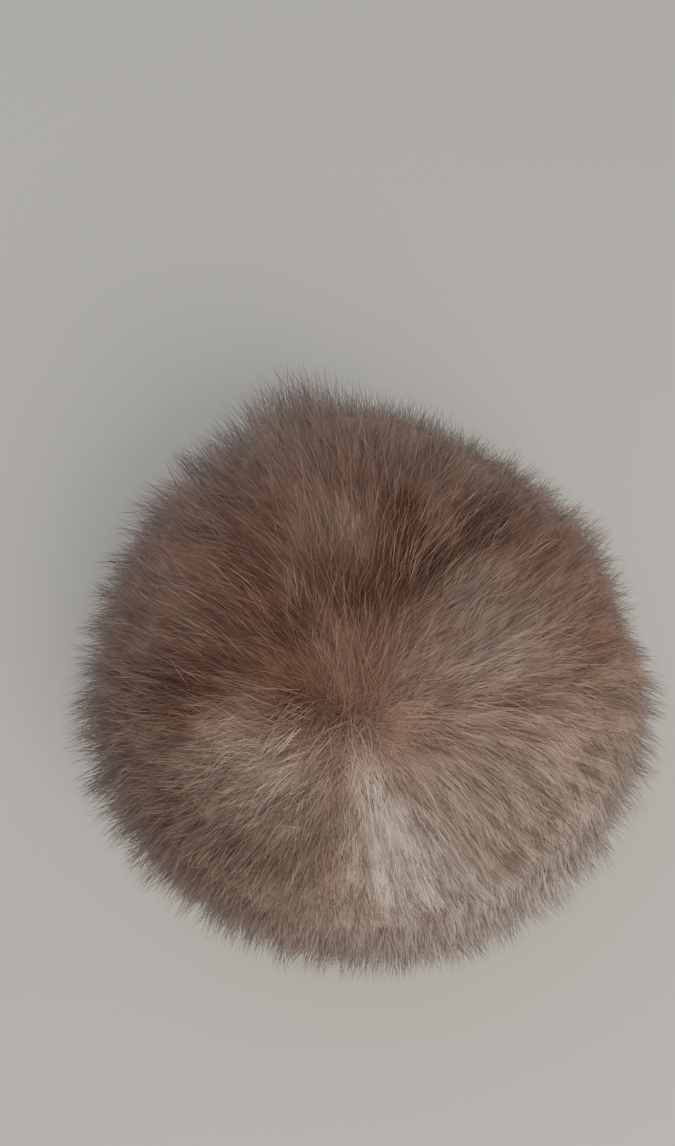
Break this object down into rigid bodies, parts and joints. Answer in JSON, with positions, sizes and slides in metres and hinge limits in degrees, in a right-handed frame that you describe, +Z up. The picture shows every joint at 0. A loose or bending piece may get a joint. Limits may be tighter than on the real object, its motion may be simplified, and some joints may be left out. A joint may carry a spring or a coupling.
{
  "type": "long-haired fur hat",
  "caption": "Round long-haired fur hat: a domed hide crown on a hide side wall, each with a deep coat of fur, and an open head hollow below.",
  "frame": {"origin": "middle of the hat's outline, on the surface that its rim stands on, within a few millimetres of the axis of the head hollow", "axes": "+Z up through the crown, -Y the front, +X to the right seen from the front"},
  "size_m": [0.3232, 0.3255, 0.1864],
  "materials": {
    "crown_suede": "matt suede, the flesh side of the pelt",
    "side_suede": "matt suede, the flesh side of the pelt",
    "crown_fur": "long soft fur, pale underfur and darker guard hair",
    "side_fur": "long soft fur with dark tips"
  },
  "bodies": {
    "root": {"crown_hide": "crown_suede", "side_hide": "side_suede", "crown_fur": "crown_fur", "side_fur": "side_fur"}
  },
  "joints": []
}
